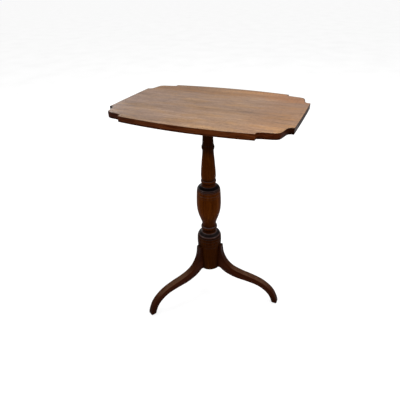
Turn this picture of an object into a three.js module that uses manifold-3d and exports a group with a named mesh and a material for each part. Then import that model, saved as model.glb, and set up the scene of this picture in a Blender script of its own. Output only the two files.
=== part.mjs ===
// Tilt top table: a shaped top that turns on a block at the head of a turned column, on three curved legs.
// Millimetres, +Z up. The origin is on the floor, on the column's axis. The top's long sides run along X.
// The top is hinged at the block's -X end and held flat by a spring catch at the block's +X end.
import * as THREE from "three";
import { mergeVertices } from "three/addons/utils/BufferGeometryUtils.js";
import Module from "manifold-3d";

const wasm = await Module();
wasm.setup();

// --- driving sizes ---
const tableHeight = 701;
const fitGap = 0.3; // between pieces that meet in wood or metal
const runGap = 0.8; // between pieces that slide or turn past each other

const topLength = 542;
const topDepth = 384;
const topThick = 17.5;
const longSideBow = 13.6; // how far a long side swells outward at its middle
const shortSideBow = 1;
const cornerLength = 77; // cut away at each corner along the length, before the ovolo fills it
const cornerDepth = 70; // and along the depth
const cornerStep = 11; // fillet between a long side's end and the ovolo
const topShiftX = 4.5; // the top sits a little off the column's axis
const topShiftY = 0;
const topEase = 1;

const blockLength = 150;
const blockDepth = 118;
const blockThick = 28;
const cleatLength = 380;
const cleatWidth = 28;
const cleatThick = 24;
const cleatTaper = 62; // length of the thinned end of a cleat
const cleatTip = 10; // thickness left at a cleat's tip
const pinRadius = 4;
const pinLength = 50;

const legTop = 198; // height of the legs' upper ends
const legRise = 6; // how far the legs' upper ends stand above the foot of the turnings
const columnFoot = 99; // height of the column's underside
const drumRadius = 41.6; // at the leg tops
const drumTaper = 2.1; // how much less it is at the column's foot
const tenonRadius = 14;
const collarRadius = 25;

const legReach = 265.5; // from the column's axis to the outside of a foot
const legThick = 22;
const footDepth = 19;
const legEase = 1.5;
const legAngles = { leg_right: 0, leg_back_left: 120, leg_front_left: 240 };

const dovetailDepth = 13;
const dovetailMouth = 11; // width at the drum's surface
const dovetailRoot = 15; // width at the bottom of the slot
const dovetailDrop = 14; // from the leg tops down to the dovetails' upper ends

// --- derived heights and places ---
const drumFootRadius = drumRadius - drumTaper;
const topUnder = tableHeight - topThick;
const blockTop = topUnder - fitGap;
const blockUnder = blockTop - blockThick;
const pivotDrop = blockThick / 2;
const pivotZ = topUnder - pivotDrop;
const blockEnd = blockLength / 2;
const pivotX = -blockEnd + pivotDrop;
const cleatInner = blockDepth / 2 + runGap;
const cleatY = cleatInner + cleatWidth / 2;

// --- helpers ---
// A three.js geometry as a solid.
function solid(geometry) {
  geometry.deleteAttribute("normal");
  geometry.deleteAttribute("uv");
  const merged = mergeVertices(geometry, 1e-4);
  return new wasm.Manifold(
    new wasm.Mesh({
      numProp: 3,
      vertProperties: merged.attributes.position.array,
      triVerts: new Uint32Array(merged.index.array),
    }),
  );
}

// Points [radius, z] turned round the Z axis. The profile starts and ends on the axis, low end first.
function turned(profile, segments) {
  const points = profile.map(([radius, z]) => new THREE.Vector2(radius, z));
  return solid(new THREE.LatheGeometry(points, segments).rotateX(Math.PI / 2));
}

// An upright rod from low to high.
function rod(radius, low, high, segments = 16) {
  const shape = new THREE.CylinderGeometry(radius, radius, high - low, segments);
  return solid(shape.rotateX(Math.PI / 2).translate(0, 0, (low + high) / 2));
}

// A box between two corners.
function box(low, high) {
  const size = high.map((value, i) => value - low[i]);
  const shape = new THREE.BoxGeometry(...size);
  return solid(shape.translate(...low.map((value, i) => value + size[i] / 2)));
}

// Points in the XY plane, extruded upward from low to high. An ease rounds over the arrises.
function slab(points, low, high, ease = 0) {
  const shape = new THREE.Shape(points.map(([x, y]) => new THREE.Vector2(x, y)));
  const geometry = new THREE.ExtrudeGeometry(shape, {
    depth: high - low - 2 * ease,
    bevelEnabled: ease > 0,
    bevelThickness: ease,
    bevelSize: ease,
    bevelOffset: -ease,
    bevelSegments: 1,
  });
  return solid(geometry.translate(0, 0, low + ease));
}

// Points [x, z] in the upright XZ plane, extruded along Y, centred on Y = 0.
function plank(points, thick, ease = 0) {
  return slab(points, -thick / 2, thick / 2, ease).rotate([90, 0, 0]);
}

// Evenly placed points on a smooth curve through the given ones.
function smooth(points, count) {
  const curve = new THREE.SplineCurve(points.map(([x, y]) => new THREE.Vector2(x, y)));
  return curve.getPoints(count).map((point) => [point.x, point.y]);
}

// A half-round bead on a turning, from low to high, standing swell proud of radius.
function bead(radius, swell, low, high, count = 4) {
  const points = [];
  for (let i = 0; i <= count; i++) {
    const angle = -Math.PI / 2 + (Math.PI * i) / count;
    const z = (low + high) / 2 + ((high - low) / 2) * Math.sin(angle);
    points.push([radius + swell * Math.cos(angle), z]);
  }
  return points;
}

const group = new THREE.Group();
group.name = "tilt_top_table";

const finishes = {
  top_wood: { color: 0x8a5433, roughness: 0.45, metalness: 0 },
  turned_wood: { color: 0x4a2718, roughness: 0.4, metalness: 0 },
  leg_wood: { color: 0x55301f, roughness: 0.45, metalness: 0 },
  plain_wood: { color: 0x7a5335, roughness: 0.7, metalness: 0 },
  brass: { color: 0xa8864a, roughness: 0.4, metalness: 1 },
  iron: { color: 0x3b3734, roughness: 0.6, metalness: 1 },
};

// Adds a solid to the group as one named mesh.
function add(name, body, finish) {
  const mesh = body.getMesh();
  const geometry = new THREE.BufferGeometry();
  geometry.setAttribute("position", new THREE.BufferAttribute(mesh.vertProperties, 3));
  geometry.setIndex(new THREE.BufferAttribute(mesh.triVerts, 1));
  const flat = geometry.toNonIndexed();
  flat.computeVertexNormals();
  const node = new THREE.Mesh(flat, new THREE.MeshStandardMaterial(finishes[finish]));
  node.name = name;
  group.add(node);
}

// --- screws and nails ---
// A countersunk wood screw, head down, with its head's face at z = 0 and its shank upward.
function screw(radius, headRadius, length, grow = 0) {
  const cone = headRadius - radius;
  const profile = [
    [0, -grow],
    [headRadius + grow, -grow],
    [headRadius + grow, 0.4 + grow],
    [radius + grow, 0.4 + cone + grow],
    [radius + grow, length - 2 * radius],
    [0, length + grow],
  ];
  return turned(profile, 10);
}

// The same screw with its driving slot.
function slottedScrew(radius, headRadius, length) {
  const slotWide = 0.25 * headRadius;
  const slot = box([-2 * headRadius, -slotWide / 2, -1], [2 * headRadius, slotWide / 2, 0.8]);
  return screw(radius, headRadius, length).subtract(slot);
}

// --- the top ---
// One corner of the top, as points from the end of a long side to the end of a short side, measured from
// the long side's end: u towards the table's end, v inward.
function cornerPoints() {
  const u = cornerLength / 77;
  const v = cornerDepth / 70;
  const ovolo = [
    [0, cornerStep],
    [12 * u, cornerStep + 4 * v],
    [24 * u, cornerStep + 6.3 * v],
    [39 * u, cornerStep + 8.8 * v],
    [50.5 * u, 25.3 * v],
    [55 * u, 34 * v],
    [58 * u, 46 * v],
    [60.5 * u, 58 * v],
    [64 * u, 66 * v],
    [70 * u, cornerDepth],
  ];
  return [[0, 0], ...smooth(ovolo, 18), [cornerLength, cornerDepth]];
}

// The outline of the top, counter-clockwise, from the front side's left end.
function topOutline() {
  const halfLength = topLength / 2;
  const halfDepth = topDepth / 2;
  const sideX = halfLength - shortSideBow - cornerLength;
  const sideY = halfDepth - longSideBow - cornerDepth;
  const steps = 10;
  const longSide = [];
  const shortSide = [];
  for (let i = 1; i < steps; i++) {
    const t = -1 + (2 * i) / steps;
    longSide.push([t * sideX, halfDepth - longSideBow * t * t]);
    shortSide.push([halfLength - shortSideBow * t * t, t * sideY]);
  }
  const corner = cornerPoints().map(([u, v]) => [sideX + u, halfDepth - longSideBow - v]);
  const front = longSide.map(([x, y]) => [x, -y]);
  const frontRight = corner.map(([x, y]) => [x, -y]);
  const backRight = [...corner].reverse();
  const back = [...longSide].reverse();
  const backLeft = corner.map(([x, y]) => [-x, y]);
  const left = [...shortSide].reverse().map(([x, y]) => [-x, y]);
  const frontLeft = [...corner].reverse().map(([x, y]) => [-x, -y]);
  return [
    ...front,
    ...frontRight,
    ...shortSide,
    ...backRight,
    ...back,
    ...backLeft,
    ...left,
    ...frontLeft,
  ].map(([x, y]) => [x + topShiftX, y + topShiftY]);
}

let top = slab(topOutline(), topUnder, tableHeight, topEase);

// --- the cleats, screwed under the top on either side of the block ---
const cleatTop = topUnder - fitGap;
const cleatHalf = cleatLength / 2;
const cleatFull = cleatHalf - cleatTaper;
const cleatCurve = smooth(
  [
    [cleatFull, cleatTop - cleatThick],
    [cleatFull + 0.55 * cleatTaper, cleatTop - 0.82 * cleatThick],
    [cleatHalf, cleatTop - cleatTip],
  ],
  8,
);
const cleatProfile = [
  ...cleatCurve,
  [cleatHalf, cleatTop],
  [-cleatHalf, cleatTop],
  ...[...cleatCurve].reverse().map(([x, z]) => [-x, z]),
];
const cleatScrewRadius = 2.2;
const cleatScrewHead = 4.6;
const screwSink = 1;
const cleatScrewLength = cleatThick + 0.55 * topThick;
const cleatScrewZ = cleatTop - cleatThick + screwSink;
const cleatScrewX = [-0.36, -0.08, 0.14, 0.36].map((share) => share * cleatLength);

for (const [cleatName, side] of Object.entries({ cleat_front: -1, cleat_back: 1 })) {
  let cleat = plank(cleatProfile, cleatWidth, topEase).translate([0, side * cleatY, 0]);
  const pinBore = rod(pinRadius + fitGap, -pinLength, pinLength, 24).rotate([90, 0, 0]);
  cleat = cleat.subtract(pinBore.translate([pivotX, side * cleatY, pivotZ]));
  cleatScrewX.forEach((x, i) => {
    const place = [x, side * cleatY, cleatScrewZ];
    const hole = screw(cleatScrewRadius, cleatScrewHead, cleatScrewLength, fitGap);
    const mouth = rod(cleatScrewHead + fitGap, -2 * screwSink, 0.1);
    cleat = cleat.subtract(hole.translate(place)).subtract(mouth.translate(place));
    top = top.subtract(hole.translate(place));
    const body = slottedScrew(cleatScrewRadius, cleatScrewHead, cleatScrewLength);
    add(`${cleatName}_screw_${i + 1}`, body.translate(place), "iron");
  });
  add(cleatName, cleat, "plain_wood");
}

// --- the block, with its hinge end rounded about the pins ---
const hingeRadius = pivotDrop - fitGap;
const hingeEnd = [];
for (let i = 0; i <= 8; i++) {
  const angle = Math.PI / 2 + (Math.PI / 2) * (i / 8);
  hingeEnd.push([pivotX + hingeRadius * Math.cos(angle), pivotZ + hingeRadius * Math.sin(angle)]);
}
const blockProfile = [
  [blockEnd, blockUnder],
  [blockEnd, blockTop],
  ...hingeEnd,
  [pivotX - hingeRadius, blockUnder],
];
let block = plank(blockProfile, blockDepth, topEase);
block = block.subtract(rod(tenonRadius + fitGap, blockUnder - 5, blockTop + 5, 32));

// --- the hinge pins: driven into the block's ends, turning in the cleats ---
const pinInset = 22; // length of a pin inside the block
for (const [name, side] of Object.entries({ hinge_pin_front: -1, hinge_pin_back: 1 })) {
  const low = blockDepth / 2 - pinInset;
  const high = low + pinLength;
  const turn = [-90 * side, 0, 0];
  const place = [pivotX, 0, pivotZ];
  add(name, rod(pinRadius, low, high, 24).rotate(turn).translate(place), "iron");
  const hole = rod(pinRadius + fitGap, low - fitGap, high, 24);
  block = block.subtract(hole.rotate(turn).translate(place));
}

// --- the catch under the top, at the block's other end ---
const boltWide = 14;
const boltThick = 6;
const boltTravel = 10;
const boltReach = 8; // how far the bolt's nose enters the block
const keeperThick = 2;
const caseWall = 1.6;
const caseBack = 2.6; // the case's plate against the top's underside
const caseGap = 4; // between the keeper and the case
const boltLength = 34;
const caseInner = boltLength - boltReach - caseGap + boltTravel + 14;
const caseStart = blockEnd + keeperThick + caseGap;
const caseEnd = caseStart + caseInner + 2 * caseWall;
const caseHalf = boltWide / 2 + runGap + caseWall;
const caseTop = topUnder - fitGap;
const boltTop = caseTop - caseBack - runGap;
const boltUnder = boltTop - boltThick;
const caseUnder = boltUnder - fitGap - caseWall;
const noseX = blockEnd + keeperThick - boltReach;
const boltEnd = noseX + boltLength;
const knobX = noseX + boltLength - 9;
const stemRadius = 2.4;
const flangeWide = 12;
const flangeHalf = caseHalf + flangeWide;

const caseOutside = box([caseStart, -caseHalf, caseUnder], [caseEnd, caseHalf, caseTop]);
const flange = box([caseStart, -flangeHalf, caseTop - caseBack], [caseEnd, flangeHalf, caseTop]);
const caseInside = box(
  [caseStart - 1, -caseHalf + caseWall, caseUnder + caseWall],
  [caseEnd - caseWall, caseHalf - caseWall, caseTop - caseBack],
);
const stemSlot = box(
  [knobX - stemRadius - fitGap, -stemRadius - fitGap, caseUnder - 1],
  [knobX + stemRadius + boltTravel + fitGap, stemRadius + fitGap, caseUnder + caseWall + 1],
);
let catchCase = caseOutside.add(flange).subtract(caseInside).subtract(stemSlot);

const caseScrewRadius = 1.5;
const caseScrewHead = 3;
const caseScrewLength = caseBack + 0.55 * topThick;
let caseScrewCount = 0;
for (const x of [caseStart + flangeWide / 2, caseEnd - flangeWide / 2]) {
  for (const y of [-caseHalf - flangeWide / 2, caseHalf + flangeWide / 2]) {
    const place = [x, y, caseTop - caseBack - 0.2];
    const hole = screw(caseScrewRadius, caseScrewHead, caseScrewLength, fitGap).translate(place);
    catchCase = catchCase.subtract(hole);
    top = top.subtract(hole);
    caseScrewCount += 1;
    const body = slottedScrew(caseScrewRadius, caseScrewHead, caseScrewLength).translate(place);
    add(`catch_screw_${caseScrewCount}`, body, "brass");
  }
}
add("catch_case", catchCase, "brass");

const noseSlope = 3;
const boltProfile = [
  [noseX, boltUnder + noseSlope],
  [noseX + noseSlope, boltUnder],
  [boltEnd, boltUnder],
  [boltEnd, boltTop],
  [noseX, boltTop],
];
const stemHole = rod(stemRadius + 0.02, boltUnder - 1, boltTop + 1, 16).translate([knobX, 0, 0]);
add("catch_bolt", plank(boltProfile, boltWide).subtract(stemHole), "brass");

const knobRadius = 6.5;
const knobDrop = 15;
const knobProfile = [
  [0, caseUnder - knobDrop],
  ...smooth(
    [
      [0.5 * knobRadius, caseUnder - knobDrop + 0.4],
      [knobRadius, caseUnder - 0.65 * knobDrop],
      [stemRadius + 1, caseUnder - 0.3 * knobDrop],
      [stemRadius + 0.8, caseUnder - 0.6],
    ],
    8,
  ),
  [stemRadius - 0.02, caseUnder - 0.6],
  [stemRadius - 0.02, boltTop - 0.5],
  [0, boltTop - 0.5],
];
add("catch_knob", turned(knobProfile, 16).translate([knobX, 0, 0]), "brass");

// The spring between the bolt's tail and the case's end wall.
class Coil extends THREE.Curve {
  getPoint(t) {
    const angle = 2 * Math.PI * springTurns * t;
    const x = springStart + (springStop - springStart) * t;
    return new THREE.Vector3(x, springRadius * Math.cos(angle), springZ + springRadius * Math.sin(angle));
  }
}
const springTurns = 6;
const springWire = 0.35;
const springRadius = boltThick / 2 - springWire - 0.1;
const springStart = boltEnd + fitGap + springWire;
const springStop = caseEnd - caseWall - fitGap - springWire;
const springZ = (boltTop + boltUnder) / 2;
const wirePoints = [];
for (let i = 0; i < 5; i++) {
  const angle = (2 * Math.PI * i) / 5;
  wirePoints.push(new THREE.Vector2(springWire * Math.cos(angle), springWire * Math.sin(angle)));
}
const coil = new THREE.ExtrudeGeometry(new THREE.Shape(wirePoints), {
  steps: springTurns * 10,
  extrudePath: new Coil(),
});
add("catch_spring", solid(coil), "iron");

// The keeper on the block's end, and the pocket behind it.
const keeperWide = boltWide + 30;
const keeperUnder = blockUnder + 5;
const keeperTop = blockTop - 1;
const pocketLow = boltUnder - runGap;
const pocketHalf = boltWide / 2 + runGap;
const keeperStart = blockEnd - keeperThick;
let keeper = box([keeperStart, -keeperWide / 2, keeperUnder], [blockEnd, keeperWide / 2, keeperTop]);
const keeperSeat = box(
  [keeperStart - fitGap, -keeperWide / 2 - fitGap, keeperUnder - fitGap],
  [blockEnd + 5, keeperWide / 2 + fitGap, blockTop + 5],
);
const pocket = box([noseX - runGap, -pocketHalf, pocketLow], [caseStart, pocketHalf, boltTop + runGap]);
keeper = keeper.subtract(pocket);
block = block.subtract(keeperSeat).subtract(pocket);
const keeperScrewRadius = 1.5;
const keeperScrewHead = 3;
for (const [name, y] of Object.entries({ keeper_screw_1: -15.5, keeper_screw_2: 15.5 })) {
  const place = [blockEnd, y, (keeperUnder + keeperTop) / 2 - 2];
  const turn = [0, -90, 0];
  const hole = screw(keeperScrewRadius, keeperScrewHead, 16, fitGap).rotate(turn).translate(place);
  keeper = keeper.subtract(hole);
  block = block.subtract(hole);
  const body = slottedScrew(keeperScrewRadius, keeperScrewHead, 16).rotate(turn).translate(place);
  add(name, body, "brass");
}
add("catch_keeper", keeper, "brass");
add("top_block", block, "plain_wood");
add("table_top", top, "top_wood");

// --- the column ---
// Heights in the turning are counted from its foot and stretch with the table's height.
const turnSegments = 36;
const turnFoot = legTop - legRise;
const turnStretch = (blockUnder - fitGap - turnFoot) / 463;
const up = (points) => points.map(([radius, z]) => [radius, turnFoot + z * turnStretch]);
const baseShoulder = smooth(
  [
    [drumRadius + 0.6, legRise + 5],
    [drumRadius + 0.9, 22],
    [drumRadius + 0.5, 36],
    [drumRadius - 1.3, 45.5],
    [drumRadius - 5.8, 52.5],
    [29.3, 56.5],
    [25, 61],
    [24.6, 71],
  ],
  10,
);
const vase = smooth(
  [
    [24.4, 86],
    [24.3, 94],
    [25.8, 102],
    [30.9, 117],
    [35.9, 133],
    [39.4, 149],
    [41.1, 169],
    [41, 190],
    [40.2, 210],
    [39.4, 222],
  ],
  13,
);
const vaseShoulder = smooth(
  [
    [39.3, 224],
    [38, 231],
    [34.8, 236.5],
    [29, 240.5],
    [24.6, 244.5],
    [23.2, 251],
  ],
  7,
);
const shaft = smooth(
  [
    [23.3, 268],
    [24.3, 275],
    [24.3, 286],
    [23, 306],
    [20.9, 331],
    [18.7, 354],
    [18, 366],
  ],
  8,
);
const neck = smooth(
  [
    [17.8, 387],
    [16.7, 407],
    [16.5, 425],
    [17.5, 442],
    [20, 449],
  ],
  6,
);
const groove = (radius, z) => [
  [radius, z - 0.8],
  [radius - 0.9, z],
  [radius, z + 0.8],
];
const tenonTop = blockTop - 1;
const columnProfile = [
  [0, columnFoot],
  [drumFootRadius, columnFoot],
  [drumRadius, legTop],
  [drumRadius - 0.8, legTop + 1.2],
  ...up(baseShoulder),
  ...up(bead(26.4, 1.8, 73.5, 83)),
  ...up(vase),
  ...up(groove(39.3, 223)),
  ...up(vaseShoulder),
  ...up(bead(23.2, 2, 254, 264)),
  ...up(shaft),
  ...up(bead(18, 2.4, 369, 385)),
  ...up(neck),
  ...up(bead(21.5, 2, 451, 456)),
  [collarRadius, turnFoot + 457.5 * turnStretch],
  [collarRadius, blockUnder - fitGap],
  [tenonRadius, blockUnder - fitGap],
  [tenonRadius, tenonTop],
  [0, tenonTop],
];
let column = turned(columnProfile, turnSegments);

// The wedge that spreads the tenon's end.
const wedgeLong = 0.7 * blockThick;
const wedgeProfile = (grow) => [
  [-0.5 - grow, tenonTop - wedgeLong - grow],
  [0.5 + grow, tenonTop - wedgeLong - grow],
  [2 + grow, tenonTop + grow],
  [-2 - grow, tenonTop + grow],
];
column = column.subtract(plank(wedgeProfile(0.15), 3 * tenonRadius));
add("tenon_wedge", plank(wedgeProfile(0), 1.86 * tenonRadius), "plain_wood");

// --- the legs ---
// A leg's side view: [distance from the column's axis, height]. Its curve stretches with the reach and the
// height of the leg's upper end.
const legFlat = drumRadius + 3.4; // where the underside leaves the flat that the brace lies on
const legRoot = drumFootRadius - 4;
const reachScale = (legReach - legFlat) / (265.5 - 45);
const footInner = legReach - footDepth;
const legPoint = ([x, z]) => [
  legFlat + (x - 45) * reachScale,
  z < 99 ? (z * columnFoot) / 99 : columnFoot + ((z - 99) * (legTop - columnFoot)) / 99,
];
const underside = smooth(
  [
    [legFlat, columnFoot],
    ...[
      [58, 88.5],
      [78, 78.5],
      [110, 70.5],
      [155, 67.5],
      [190, 62],
      [215.5, 49.5],
      [232, 34],
      [242, 15],
    ].map(legPoint),
    [footInner, 0],
  ],
  24,
);
const upperSide = smooth(
  [
    [legReach, 0],
    ...[
      [264.5, 8],
      [259, 25],
      [247, 48],
      [228, 67],
      [200, 83],
      [165, 92.5],
      [125, 99.5],
      [95, 108.5],
      [74, 123],
      [59, 145],
      [51, 168],
      [48, 198],
    ].map(legPoint),
  ],
  28,
);
const legProfile = [[legRoot, columnFoot], ...underside, ...upperSide, [legRoot, legTop]];

// The dovetail in plan, running outward from its root inside the drum.
const dovetailInner = drumFootRadius - dovetailDepth;
const dovetailOuter = drumRadius + 3;
const dovetailPlan = (grow) => [
  [dovetailInner - grow, -dovetailRoot / 2 - grow],
  [dovetailOuter, -dovetailMouth / 2 - grow],
  [dovetailOuter, dovetailMouth / 2 + grow],
  [dovetailInner - grow, dovetailRoot / 2 + grow],
];
const drumRise = legTop - columnFoot;
const drum = new THREE.CylinderGeometry(
  drumRadius + fitGap,
  drumFootRadius + fitGap,
  drumRise,
  turnSegments,
);
const drumCutter = solid(drum.rotateX(Math.PI / 2).translate(0, 0, columnFoot + drumRise / 2));
const dovetailTop = legTop - dovetailDrop;
const tongue = slab(dovetailPlan(0), columnFoot, dovetailTop);
const slot = slab(dovetailPlan(fitGap), columnFoot - 5, dovetailTop + fitGap);
const blank = plank(legProfile, legThick, legEase);

// --- the iron brace under the column and the roots of the legs ---
const braceThick = 2;
const braceArmEnd = legFlat - 1;
const braceTop = columnFoot - fitGap;
const braceUnder = braceTop - braceThick;
const nailRadius = 1.3;
const nailHead = 3.2;
const nailLength = 16;
const nailPlaces = { inner: 0.36 * drumFootRadius, outer: 0.86 * drumFootRadius };
const nailProfile = (grow) => [
  [0, -1.2 - grow],
  [nailHead + grow, -1.2 - grow],
  [nailHead + grow, 0],
  [nailRadius + grow, 0],
  [nailRadius + grow, nailLength - 3],
  [0, nailLength + grow],
];
let brace = rod(0.5 * drumFootRadius, braceUnder, braceTop, 36);
for (const [legName, angle] of Object.entries(legAngles)) {
  const turn = [0, 0, angle];
  const arm = box([0, -7, braceUnder], [braceArmEnd, 7, braceTop]);
  brace = brace.add(arm.rotate(turn));
}
for (const [legName, angle] of Object.entries(legAngles)) {
  const turn = [0, 0, angle];
  let leg = blank.subtract(drumCutter).add(tongue);
  column = column.subtract(slot.rotate(turn));
  for (const [nailName, radius] of Object.entries(nailPlaces)) {
    const place = [radius, 0, braceUnder - 0.1];
    const nail = turned(nailProfile(0), 8).translate(place);
    const hole = rod(nailRadius + fitGap, -5, nailLength + fitGap, 8).translate(place);
    brace = brace.subtract(hole.rotate(turn));
    leg = leg.subtract(hole);
    column = column.subtract(hole.rotate(turn));
    add(`brace_nail_${nailName}_${legName.slice(4)}`, nail.rotate(turn), "iron");
  }
  add(legName, leg.rotate(turn), "leg_wood");
}
add("leg_brace", brace, "iron");
add("column", column, "turned_wood");

export default group;
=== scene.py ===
"""A tilt top table: procedural wood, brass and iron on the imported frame, in metres."""

import math

import bmesh
import bpy
from mathutils import Matrix, Vector


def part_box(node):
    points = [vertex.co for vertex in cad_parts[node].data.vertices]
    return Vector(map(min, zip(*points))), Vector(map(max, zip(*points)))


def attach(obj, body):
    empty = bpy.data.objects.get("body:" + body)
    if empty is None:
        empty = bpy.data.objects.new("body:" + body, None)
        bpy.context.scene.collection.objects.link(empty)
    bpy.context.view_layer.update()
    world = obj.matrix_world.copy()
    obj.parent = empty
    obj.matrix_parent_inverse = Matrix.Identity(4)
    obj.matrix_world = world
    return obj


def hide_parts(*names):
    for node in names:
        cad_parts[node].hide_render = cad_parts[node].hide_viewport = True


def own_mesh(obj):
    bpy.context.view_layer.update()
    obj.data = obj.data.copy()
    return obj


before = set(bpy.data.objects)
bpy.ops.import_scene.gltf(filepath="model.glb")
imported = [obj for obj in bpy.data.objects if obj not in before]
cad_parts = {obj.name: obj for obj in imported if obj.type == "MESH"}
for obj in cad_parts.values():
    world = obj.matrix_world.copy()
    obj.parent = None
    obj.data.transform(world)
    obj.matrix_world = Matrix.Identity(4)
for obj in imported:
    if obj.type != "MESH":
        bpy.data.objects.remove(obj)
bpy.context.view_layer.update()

MM = 0.001

# -------------------------------- sizes, in millimetres, as in the frame
top_low, top_high = [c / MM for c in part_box("table_top")]
column_low, column_high = [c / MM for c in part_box("column")]
block_low, block_high = [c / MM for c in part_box("top_block")]
leg_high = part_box("leg_right")[1] / MM
cleat_low, cleat_high = [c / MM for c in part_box("cleat_back")]
case_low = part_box("catch_case")[0] / MM
knob_low, knob_high = [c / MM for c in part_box("catch_knob")]
keeper_low, keeper_high = [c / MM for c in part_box("catch_keeper")]
bolt_low, bolt_high = [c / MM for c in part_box("catch_bolt")]
pin_low, pin_high = [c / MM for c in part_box("hinge_pin_back")]

LEG_TOP = leg_high.z
LEG_RISE = 6
TURN_FOOT = LEG_TOP - LEG_RISE
COLUMN_FOOT = column_low.z
DRUM_RADIUS = 41.6
DRUM_TAPER = 2.1
TENON_RADIUS = 14
PIN_HOLE_RADIUS = 4.1
LEG_THICK = 22
LEG_ANGLES = {"right": 0, "back_left": 120, "front_left": 240}
PIVOT = Vector(((pin_low.x + pin_high.x) / 2, 0, (pin_low.z + pin_high.z) / 2))


# -------------------------------- mesh tools
def smooth(points, count):
    """Evenly stepped points on a smooth curve through the given ones."""
    out = []
    last = len(points) - 1
    for step in range(count + 1):
        place = last * step / count
        i = min(int(place), last - 1)
        w = place - i
        p = [points[max(i - 1, 0)], points[i], points[i + 1], points[min(i + 2, last)]]
        out.append(
            tuple(
                p[1][k]
                + w
                * (
                    (p[2][k] - p[0][k]) / 2
                    + w
                    * (
                        (p[0][k] - 2.5 * p[1][k] + 2 * p[2][k] - 0.5 * p[3][k])
                        + w * 0.5 * (3 * p[1][k] - p[0][k] - 3 * p[2][k] + p[3][k])
                    )
                )
                for k in (0, 1)
            )
        )
    return out


def bead(radius, swell, low, high, count=12):
    """A half-round bead on a turning."""
    out = []
    for i in range(count + 1):
        a = -math.pi / 2 + math.pi * i / count
        z = (low + high) / 2 + (high - low) / 2 * math.sin(a)
        out.append((radius + swell * math.cos(a), z))
    return out


def mesh_object(name, bm, sharp=32):
    """A bmesh in millimetres becomes an object in metres, smooth but for its sharp edges."""
    bmesh.ops.remove_doubles(bm, verts=bm.verts, dist=0.002)
    bmesh.ops.dissolve_degenerate(bm, edges=bm.edges, dist=0.001)
    bmesh.ops.recalc_face_normals(bm, faces=bm.faces)
    bmesh.ops.scale(bm, vec=(MM, MM, MM), verts=bm.verts)
    mesh = bpy.data.meshes.new(name)
    bm.to_mesh(mesh)
    bm.free()
    shade(mesh, sharp)
    obj = bpy.data.objects.new(name, mesh)
    bpy.context.scene.collection.objects.link(obj)
    return obj


def shade(mesh, sharp=32):
    """Smooth shading, but for edges sharper than an angle in degrees."""
    mesh.polygons.foreach_set("use_smooth", [True] * len(mesh.polygons))
    mesh.set_sharp_from_angle(angle=math.radians(sharp))


def turned(profile, segments, matrix=Matrix()):
    """Points (radius, z) turned round the Z axis."""
    bm = bmesh.new()
    rings = []
    for radius, z in profile:
        if radius < 1e-6:
            rings.append([bm.verts.new((0, 0, z))])
            continue
        ring = []
        for i in range(segments):
            a = 2 * math.pi * i / segments
            ring.append(bm.verts.new((radius * math.cos(a), radius * math.sin(a), z)))
        rings.append(ring)
    for low, high in zip(rings, rings[1:]):
        for i in range(segments):
            j = (i + 1) % segments
            if len(low) == 1:
                bm.faces.new((low[0], high[j], high[i]))
            elif len(high) == 1:
                bm.faces.new((low[i], low[j], high[0]))
            else:
                bm.faces.new((low[i], low[j], high[j], high[i]))
    bmesh.ops.transform(bm, matrix=matrix, verts=bm.verts)
    return bm


def inset(outline, by):
    """A counter-clockwise outline moved inward, mitred at its corners."""
    out = []
    count = len(outline)
    for i in range(count):
        a, b, c = outline[i - 1], outline[i], outline[(i + 1) % count]
        d1 = Vector((b[0] - a[0], b[1] - a[1])).normalized()
        d2 = Vector((c[0] - b[0], c[1] - b[1])).normalized()
        n1, n2 = Vector((-d1.y, d1.x)), Vector((-d2.y, d2.x))
        mitre = (n1 + n2) / max(0.3, 1 + n1.dot(n2))
        out.append((b[0] + mitre.x * by, b[1] + mitre.y * by))
    return out


def slab(outline, low, high, ease_low, ease_high, matrix=Matrix(), steps=4, border=0.0):
    """An outline in the XY plane raised from low to high, with its two arrises rounded.
    A border leaves a ring of that width round the upper face, for the painted rim shade attribute."""
    levels = []
    for i in range(steps + 1):
        a = math.pi / 2 * i / steps
        levels.append((ease_low * (1 - math.sin(a)), low + ease_low * (1 - math.cos(a))))
    for i in range(steps + 1):
        a = math.pi / 2 * i / steps
        levels.append((ease_high * (1 - math.cos(a)), high - ease_high * (1 - math.sin(a))))
    if border:
        levels.append((ease_high + border, high))
    bm = bmesh.new()
    rings = []
    for by, z in levels:
        points = inset(outline, by) if by > 1e-9 else outline
        rings.append([bm.verts.new((x, y, z)) for x, y in points])
    count = len(outline)
    for below, above in zip(rings, rings[1:]):
        for i in range(count):
            j = (i + 1) % count
            bm.faces.new((below[i], below[j], above[j], above[i]))
    bm.faces.new(list(reversed(rings[0])))
    bm.faces.new(rings[-1])
    bmesh.ops.transform(bm, matrix=matrix, verts=bm.verts)
    return bm


# Turns the XY plane of a slab upright: its Y becomes +Z and its height becomes -Y.
UPRIGHT = Matrix.Rotation(math.pi / 2, 4, "X")


def box_bm(low, high):
    """A box between two corners."""
    bm = bmesh.new()
    bmesh.ops.create_cube(bm, size=1)
    low, high = Vector(low), Vector(high)
    bmesh.ops.scale(bm, vec=high - low, verts=bm.verts)
    bmesh.ops.translate(bm, vec=(low + high) / 2, verts=bm.verts)
    return bm


def rod_bm(radius, low, high, segments=40, matrix=Matrix()):
    """A round rod along the Z axis."""
    return turned([(0, low), (radius, low), (radius, high), (0, high)], segments, matrix)


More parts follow.
